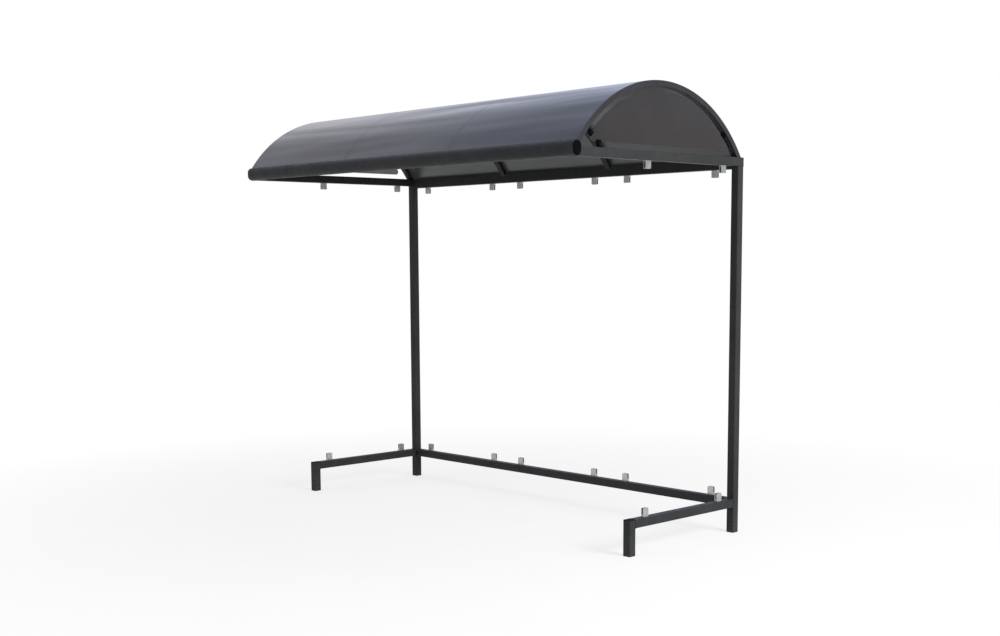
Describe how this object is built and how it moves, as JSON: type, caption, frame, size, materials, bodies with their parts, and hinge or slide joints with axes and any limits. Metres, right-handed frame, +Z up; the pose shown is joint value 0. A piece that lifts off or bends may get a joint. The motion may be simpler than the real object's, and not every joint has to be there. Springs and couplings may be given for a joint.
{
  "type": "bike shelter",
  "caption": "Open bike shelter: a dark square-tube frame carries a cantilevered barrel-vault roof of smoked sheets, with pane clips on its side and rear rails.",
  "frame": {"origin": "on the ground, under the middle of the roof's length and depth", "axes": "+X along the length of the shelter, +Y from the open front towards the rear wall, +Z up"},
  "size_m": [3.01, 1.435, 2.5893],
  "materials": {
    "frame": "satin powder coat",
    "arch": "satin powder coat",
    "black_plastic": "matte",
    "roof_sheet": "gloss",
    "gable_sheet": "gloss",
    "clip": "satin",
    "pad": "matte"
  },
  "bodies": {
    "root": {"left_post": "frame", "right_post": "frame", "left_front_leg": "frame", "right_front_leg": "frame", "left_bottom_rail": "frame", "right_bottom_rail": "frame", "rear_bottom_rail": "frame", "left_side_beam": "frame", "right_side_beam": "frame", "rear_beam": "frame", "front_gutter": "frame", "left_end_arch": "arch", "left_inner_arch": "arch", "right_inner_arch": "arch", "right_end_arch": "arch", "left_leg_cap": "black_plastic", "right_leg_cap": "black_plastic", "left_beam_cap": "black_plastic", "right_beam_cap": "black_plastic", "left_gutter_cap": "black_plastic", "right_gutter_cap": "black_plastic", "left_gable_clips": "black_plastic", "right_gable_clips": "black_plastic", "left_roof_sheet": "roof_sheet", "middle_roof_sheet": "roof_sheet", "right_roof_sheet": "roof_sheet", "left_gable_panel": "gable_sheet", "right_gable_panel": "gable_sheet", "rear_top_clips": "clip", "rear_bottom_clips": "clip", "left_top_clips": "clip", "left_bottom_clips": "clip", "right_top_clips": "clip", "right_bottom_clips": "clip", "rear_top_jaws": "clip", "rear_bottom_jaws": "clip", "left_top_jaws": "clip", "left_bottom_jaws": "clip", "right_top_jaws": "clip", "right_bottom_jaws": "clip", "rear_clip_pads": "pad", "left_clip_pads": "pad", "right_clip_pads": "pad"}
  },
  "joints": []
}
